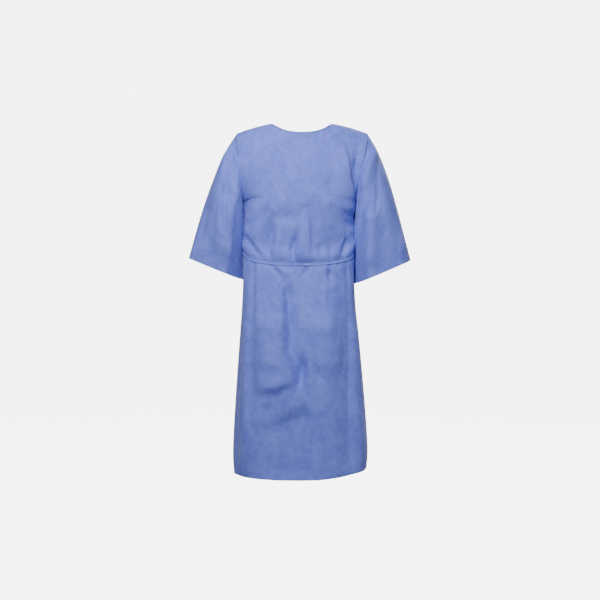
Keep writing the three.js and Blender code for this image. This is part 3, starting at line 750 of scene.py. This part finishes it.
def evenly(path, pitch, *others):
    """A path and what goes with it, at points a pitch apart."""
    length = np.concatenate([[0], np.cumsum(np.linalg.norm(np.diff(path, axis=0), axis=1))])
    at = np.linspace(0, length[-1], max(int(length[-1] / pitch), 2) + 1)
    return [np.stack([np.interp(at, length, part[:, k]) for k in range(3)], -1) for part in (path, *others)]


def smoothed(path, times):
    """The same path with small kinks taken out and both ends kept."""
    path = path.copy()
    for _ in range(times):
        path[1:-1] = (path[:-2] + 2 * path[1:-1] + path[2:]) / 4
    return path


def ends_closed(piece):
    """Fills the two open ends of a strip."""
    shell = bmesh.new()
    shell.from_mesh(piece.data)
    bmesh.ops.holes_fill(shell, edges=[edge for edge in shell.edges if edge.is_boundary])
    bmesh.ops.recalc_face_normals(shell, faces=shell.faces)
    shell.to_mesh(piece.data)
    shell.free()


def swept(name, path, across, out, section, material, capped=True, levels=0):
    """A solid strip: a closed section of (across, out) carried along a path."""
    grid = path[:, None] + across[:, None] * section[None, :, :1] + out[:, None] * section[None, :, 1:]
    piece = grid_object(name, grid, material, closed=True)
    if capped:
        ends_closed(piece)
    return finished(piece, 0.0, levels)


def joined(name, pieces):
    """One object out of several, with the materials of all of them."""
    together = {"active_object": pieces[0], "object": pieces[0], "selected_editable_objects": pieces}
    with bpy.context.temp_override(**together):
        bpy.ops.object.join()
    pieces[0].name = name
    return pieces[0]


allowance, allowance_thick = 0.005, 0.0012
stitch_pitch = 0.0032
fold_edge = np.array([(-1, -0.6), (-0.8, -1), (0.8, -1), (1, -0.6), (1, 0.6), (0.8, 1), (-0.8, 1), (-1, 0.6)])
thread_section = 0.00022 * np.array([(1, 0), (0, 1), (-1, 0), (0, -1)])


def overlocked(name, ids):
    """A seam allowance inside the gown along the web's points, with its thread."""
    path, inward = evenly(hung[ids], 0.006, -web_normal[ids])
    inward = unit(inward)
    ahead = unit(np.gradient(path, axis=0))
    beside = unit(np.cross(ahead, inward))
    middle = path + inward * (0.0008 + allowance / 2)
    section = fold_edge * np.array([allowance / 2, allowance_thick / 2])
    strip = swept("strip", middle, inward, beside, section, cloth)
    fine, deep, side = evenly(middle, stitch_pitch / 8, inward, beside)
    turn = np.arange(len(fine)) * (2 * math.pi / 8)
    loops = fine + unit(deep) * (np.cos(turn) * (allowance / 2 + 0.0002))[:, None]
    loops = loops + unit(side) * (np.sin(turn) * (allowance_thick / 2 + 0.0002))[:, None]
    tangent = unit(np.gradient(loops, axis=0))
    first = unit(np.cross(tangent, unit(side)))
    second = np.cross(tangent, first)
    wrap = swept("wrap", loops, first, second, thread_section, thread, capped=False)
    return joined(name, [strip, wrap])


middle_column = len(half_columns) - 1
for name, hand in (("left", 1), ("right", -1)):
    edge = -1 if hand > 0 else 0
    outer = np.nonzero(half_columns > neck_column + 0.05)[0]
    shoulder = overlocked(f"shoulder_seam_cloth_{name}", front_ids[0, middle_column + hand * outer[:-2]])
    side_seam = overlocked(f"side_seam_cloth_{name}", front_ids[arm_rows + 4:, edge])
    ring = sleeve_ids[hand][0]
    armhole = overlocked(f"armhole_seam_cloth_{name}", ring[3:arm_rows - 3])
    armhole_back = overlocked(f"armhole_seam_back_{name}", ring[arm_rows + 3:-3])
    armhole = joined(f"armhole_seam_cloth_{name}", [armhole, armhole_back])
    sleeve_seam = overlocked(f"sleeve_seam_cloth_{name}", sleeve_ids[hand][4:, arm_rows])
    for piece, node in ((shoulder, "shoulder"), (side_seam, "side"), (armhole, "armhole")):
        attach(piece, "gown_body")
        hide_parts(f"{node}_seam_{name}")
    bends_at_armhole(sleeve_seam)
    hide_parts(f"sleeve_seam_{name}")

# ---------------------------------------------------------------- neck binding
# A narrow strip of the same cloth folded over the raw neck edge and caught with one row of stitches, which
# shows on both faces. It runs on past the centre back as the neck tie.
tape = cloth_material("Folded cloth tape", (0.112, 0.156, 0.62), (0.188, 0.247, 0.78), 160.0, 0.0004)
neck_columns = int(np.argmin(np.abs(half_columns - neck_column)))
in_neck = slice(middle_column - neck_columns, middle_column + neck_columns + 1)
neck_ids, below_ids = (
    np.concatenate([
        back_ids[-1][row, :neck_columns], front_ids[row, in_neck], back_ids[1][row, :neck_columns][::-1]])
    for row in (0, 2))
edge, down = evenly(hung[neck_ids], 0.004, hung[below_ids] - hung[neck_ids])
ahead = unit(np.gradient(edge, axis=0))
up = unit(-(down - ahead * (down * ahead).sum(1, keepdims=True)))
out = unit(np.cross(ahead, up))
binding_section = 0.001 * np.array([
    (-3.4, 1.0), (-2.9, 1.3), (-1.5, 0.9), (0.6, 1.15), (1.7, 0.8), (2.1, 0.0), (1.7, -0.8), (0.6, -1.15),
    (-1.5, -0.9), (-2.9, -1.3), (-3.4, -1.0), (-3.2, 0.0)])
binding = swept("binding", edge, up, out, binding_section, tape, levels=1)
stitch_line, stitch_up, stitch_out = evenly(edge, 0.0005, up, out)
wave = np.sin(np.arange(len(stitch_line)) * (2 * math.pi / 6))
stitches = []
for face in (1, -1):
    lift = 0.0009 + 0.00035 * wave
    line = stitch_line - unit(stitch_up) * 0.0016 + unit(stitch_out) * (face * lift)[:, None]
    tangent = unit(np.gradient(line, axis=0))
    first = unit(np.cross(tangent, unit(stitch_up)))
    second = np.cross(tangent, first)
    stitches.append(swept("stitches", line, first, second, thread_section, thread, capped=False))
binding = joined("neck_binding_cloth", [binding, *stitches])
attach(binding, "gown_body")
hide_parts("neck_binding")

# ---------------------------------------------------------------- ties
# Flat tapes of the same cloth, folded in three and pressed. The neck tie is the end of the binding, and the
# waist tie is a longer one that goes all the way round. Both are tied in a bow at the centre back.
tape_section = np.array([
    (-1, -0.2), (-0.96, -0.8), (-0.8, -1), (0, -0.86), (0.8, -1), (0.96, -0.8), (1, -0.2),
    (1, 0.3), (0.94, 0.9), (0.8, 1), (0.42, 0.78), (0.30, 0.62), (0, 0.8), (-0.8, 1), (-0.96, 0.8),
    (-1, 0.3)])


def ribbon(name, path, across, out, width, thick, levels=1):
    """A tape along a path. width may change from point to point."""
    width = np.broadcast_to(width, len(path))
    grid = path[:, None] + across[:, None] * (tape_section[None, :, :1] * width[:, None, None] / 2)
    grid = grid + out[:, None] * (tape_section[None, :, 1:] * thick / 2)
    piece = grid_object(name, grid, tape, closed=True)
    ends_closed(piece)
    return finished(piece, 0.0, levels)


def bezier(a, b, c, d, count):
    """Points along a curve from a to d, drawn towards b and c."""
    t = np.linspace(0, 1, count)[:, None]
    a, b, c, d = (np.array(point, float) for point in (a, b, c, d))
    return a * (1 - t) ** 3 + 3 * b * t * (1 - t) ** 2 + 3 * c * t * t * (1 - t) + d * t ** 3


def tie_knot(name, node, tape_width):
    """A knot drawn tight: two turns of tape crossed over a crumpled middle."""
    low, high = (np.array(corner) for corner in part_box(node))
    centre, size = (low + high) / 2, high - low
    turns = []
    for lean, place, grow in ((0.20, -0.22, 0.0), (-0.24, 0.22, 0.0006)):
        angle = np.linspace(0, 2 * math.pi, 25)
        reach = np.array([size[1] / 2 - 0.0012 + grow, size[2] / 2 - 0.0010 + grow])
        shape = np.stack([np.cos(angle), np.sin(angle)], -1)
        shape = np.sign(shape) * np.abs(shape) ** 0.8 * reach
        along_x = centre[0] + place * size[0] + lean * shape[:, 1]
        path = np.stack([along_x, centre[1] + shape[:, 0], centre[2] + shape[:, 1]], -1)
        ahead = unit(np.gradient(path, axis=0))
        ahead[0] = ahead[-1] = unit(path[1] - path[-2])
        outward = unit(path - np.stack([along_x, np.full(25, centre[1]), np.full(25, centre[2])], -1))
        across = unit(np.cross(outward, ahead))
        width = tape_width * (0.92 + 0.12 * np.cos(2 * angle))
        turns.append(ribbon("turn", path, across, outward, width, 0.0014))
    u, v = np.meshgrid(np.linspace(0, 2 * math.pi, 29)[:-1], np.linspace(0.02, math.pi - 0.02, 15))
    crumple = 1 + 0.09 * np.sin(5 * u + 2 * np.cos(3 * v)) * np.sin(v)
    ball = np.stack([np.cos(v), np.sin(v) * np.cos(u), np.sin(v) * np.sin(u)], -1)
    ball = np.sign(ball) * np.abs(ball) ** 0.75 * (size / 2 - 0.0011) * crumple[..., None]
    middle = grid_object("middle", centre + ball, tape, closed=True)
    knot = joined(name, [finished(middle), *turns])
    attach(knot, "gown_body")
    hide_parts(node)
    return centre, size


def bow_loop(name, node, hand, centre, size, length, droop, lean, tape_width):
    """One loop of a bow: the tape goes out over its far side, turns, and comes back under itself."""
    droop, lean = math.radians(droop), math.radians(lean)
    away = unit(np.array([hand * math.cos(droop), math.tan(lean) * math.sin(droop), -math.sin(droop)]))
    outward = np.array([0.0, 1.0, 0.0])
    outward = unit(outward - away * (outward @ away))
    across = np.cross(away, outward)
    root = centre + np.array([hand * (size[0] / 2 - 0.002 + tape_width / 2 * math.sin(droop)), 0, 0])
    rise = 0.15 * length
    upper = bezier((0, 0.0008), (0.3 * length, rise), (0.92 * length, 1.35 * rise), (length, 0), 15)
    under = bezier((length, 0), (0.94 * length, -0.8 * rise), (0.3 * length, -0.55 * rise), (0, -0.0012), 15)
    flat = np.concatenate([upper, under[1:]])
    sideways = 0.0016 * np.sin(np.linspace(0, 2 * math.pi, len(flat)))
    path = root + flat[:, :1] * away + flat[:, 1:] * outward + sideways[:, None] * across
    ahead = unit(np.gradient(path, axis=0))
    twist = 0.16 * np.sin(np.linspace(0, math.pi, len(flat)))[:, None]
    over = unit(across + twist * outward)
    face = unit(np.cross(over, ahead))
    over = np.cross(ahead, face)
    width = tape_width * (0.70 + 0.30 * np.clip(flat[:, 0] / length * 2.2, 0, 1))
    loop = ribbon(name, path, over, face, width, 0.0010)
    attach(loop, "gown_body")
    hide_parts(node)


back_points = np.concatenate([hung[back_ids[hand]].reshape(-1, 3) for hand in (1, -1)])


def tie_tail(name, node, hand, tape_width, body):
    """One free end of a tie. It hangs down the back a little off the cloth and is cut on a slant."""
    low, high = (np.array(corner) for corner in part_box(node))
    x = (low[0] + high[0]) / 2
    height = np.linspace(high[2] + 0.002, low[2], 26)
    near = np.abs(back_points[:, 0] - x) < 0.016
    y = []
    for z in height:
        beside = near & (np.abs(back_points[:, 2] - z) < 0.013)
        y.append(back_points[beside, 1].max() + 0.0026 if beside.any() else y[-1])
    y = np.array(y)
    y[0] = max(y[0], low[1])
    for _ in range(4):
        y[1:-1] = np.maximum(y[1:-1], (y[:-2] + 2 * y[1:-1] + y[2:]) / 4)
    s = np.linspace(0, 1, len(height))
    path = np.stack([x + hand * 0.0012 * np.sin(5 * s) * s, y, height], -1)
    ahead = unit(np.gradient(path, axis=0))
    turn = 0.22 * np.sin(4.2 * s + hand) * np.clip(s * 4, 0, 1)
    across = np.stack([np.cos(turn), np.abs(np.sin(turn)) * 0.6, np.zeros_like(turn)], -1)
    face = unit(np.cross(across, ahead))
    face *= np.sign(face[:, 1:2])
    across = unit(np.cross(ahead, face))
    tail = ribbon(name, path, across, face, tape_width, 0.0010)
    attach(tail, body)
    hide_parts(node)


def tied_bow(tie, bow, tape_width, length, droop, lean):
    """A knot with its two loops and its two tails."""
    centre, size = tie_knot(f"{tie}_knot_cloth", f"{tie}_knot", tape_width)
    for name, hand in (("left", 1), ("right", -1)):
        bow_loop(f"{bow}_loop_cloth_{name}", f"{bow}_loop_{name}", hand, centre, size, length, droop, lean,
                 tape_width)
        body = f"{tie}_tail_{name}"
        tie_tail(f"{body}_cloth", body, hand, tape_width, body)


tied_bow("neck_tie", "neck_bow", 0.0080, 0.038, 16, 20)
tied_bow("waist_tie", "waist_bow", 0.0090, 0.052, 34, 0)

# The waist tie's band lies in the hollow that it draws in the cloth, and passes under the knot.
belt_ids = np.concatenate([
    back_ids[-1][waist_row, 1:], front_ids[waist_row, 1:-1], back_ids[1][waist_row, :0:-1]])
belt = smoothed(hung[belt_ids], 3)
ahead = unit(np.gradient(belt, axis=0))
outward = unit(np.cross(ahead, [0, 0, 1.0]))
belt = belt + outward * 0.0026
low, high = (np.array(corner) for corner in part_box("waist_tie_knot"))
under_knot = np.array([0.004, low[1] - 0.0002, (low[2] + high[2]) / 2])
belt = np.concatenate([[under_knot * [-1, 1, 1]], belt, [under_knot]])
outward = np.concatenate([[[0, 1, 0]], outward, [[0, 1, 0]]])
belt, outward = evenly(belt, 0.005, outward)
ahead = unit(np.gradient(belt, axis=0))
upward = unit(np.cross(unit(outward), ahead))
upward *= np.sign(upward[:, 2:])
outward = unit(outward)
roll = 0.10 * np.sin(np.arange(len(belt)) * 0.37)[:, None]
band = ribbon("waist_tie_band", belt, unit(upward + roll * outward), outward, 0.0078, 0.0015)
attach(band, "gown_body")
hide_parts("waist_tie")

# ---------------------------------------------------------------- studio
# A pale floor that curves up far away all round, one soft light with a narrow beam above the front, a
# weaker one beside it to fill the shadows, and one behind for the back and the edges.
studio_white = bpy.data.materials.new("Pale studio paper")
studio_white.use_nodes = True
paper = studio_white.node_tree.nodes["Principled BSDF"]
paper.inputs["Base Color"].default_value = (0.92, 0.92, 0.93, 1)
paper.inputs["Roughness"].default_value = 0.9
paper.inputs["Emission Color"].default_value = (1, 1, 1, 1)
seen_directly = add_node(studio_white.node_tree, "ShaderNodeLightPath").outputs["Is Camera Ray"]
glow = mixed(studio_white.node_tree, "MULTIPLY", seen_directly, 6.0)
studio_white.node_tree.links.new(glow, paper.inputs["Emission Strength"])
floor_z = cad_low.z - 0.36
flat_radius, bend, wall_top = 7.0, 3.0, 9.0
profile = [(0.0002, floor_z), (1.5, floor_z), (4.0, floor_z), (flat_radius, floor_z)]
for k in range(1, 13):
    a = k / 12 * math.pi / 2
    profile.append((flat_radius + bend * math.sin(a), floor_z + bend - bend * math.cos(a)))
profile.append((flat_radius + bend, floor_z + wall_top))
around = np.linspace(0, 2 * math.pi, 65)[:-1]
sweep = np.array([[(r * math.cos(a), r * math.sin(a), z) for a in around] for r, z in profile])
floor = grid_object("studio_floor", sweep, studio_white, closed=True)

world = bpy.data.worlds.new("Studio")
bpy.context.scene.world = world
world.use_nodes = True
world.node_tree.nodes["Background"].inputs["Color"].default_value = (1, 1, 1, 1)
direct = add_node(world.node_tree, "ShaderNodeLightPath").outputs["Is Camera Ray"]
world.node_tree.links.new(mixed(world.node_tree, "MULTIPLY_ADD", direct, 5.0, 0.085),
                          world.node_tree.nodes["Background"].inputs["Strength"])


def soft_light(name, place, size, watts, height, beam):
    """A round diffuser pointed at the gown at the height given; the beam is its spread in degrees."""
    lamp = bpy.data.lights.new(name, "AREA")
    lamp.shape = "DISK"
    lamp.size = size
    lamp.energy = watts
    lamp.spread = math.radians(beam)
    light = bpy.data.objects.new(name, lamp)
    light.location = place
    light.rotation_euler = (Vector((0, 0, height)) - Vector(place)).to_track_quat("-Z", "Y").to_euler()
    bpy.context.scene.collection.objects.link(light)


soft_light("Key light", (-0.35, -1.75, 1.05), 0.4, 16, -0.42, 85)
soft_light("Fill light", (1.5, -2.8, 0.3), 1.2, 8, -0.4, 180)
soft_light("Rim light", (1.3, 2.0, 1.3), 0.8, 62, -0.5, 180)

# ---------------------------------------------------------------- camera
# Level with the middle of the gown and square to its front, far enough away that the frame is a little
# taller than the gown.
camera = bpy.data.objects.new("Camera", bpy.data.cameras.new("Camera"))
bpy.context.scene.collection.objects.link(camera)
camera_distance = 3.0
view_height = 1.92
camera.location = (-0.005, -camera_distance, -0.563)
camera.rotation_euler = (math.pi / 2, 0, 0)
camera.data.sensor_width = 36
camera.data.lens = 36 * camera_distance / view_height
bpy.context.scene.camera = camera
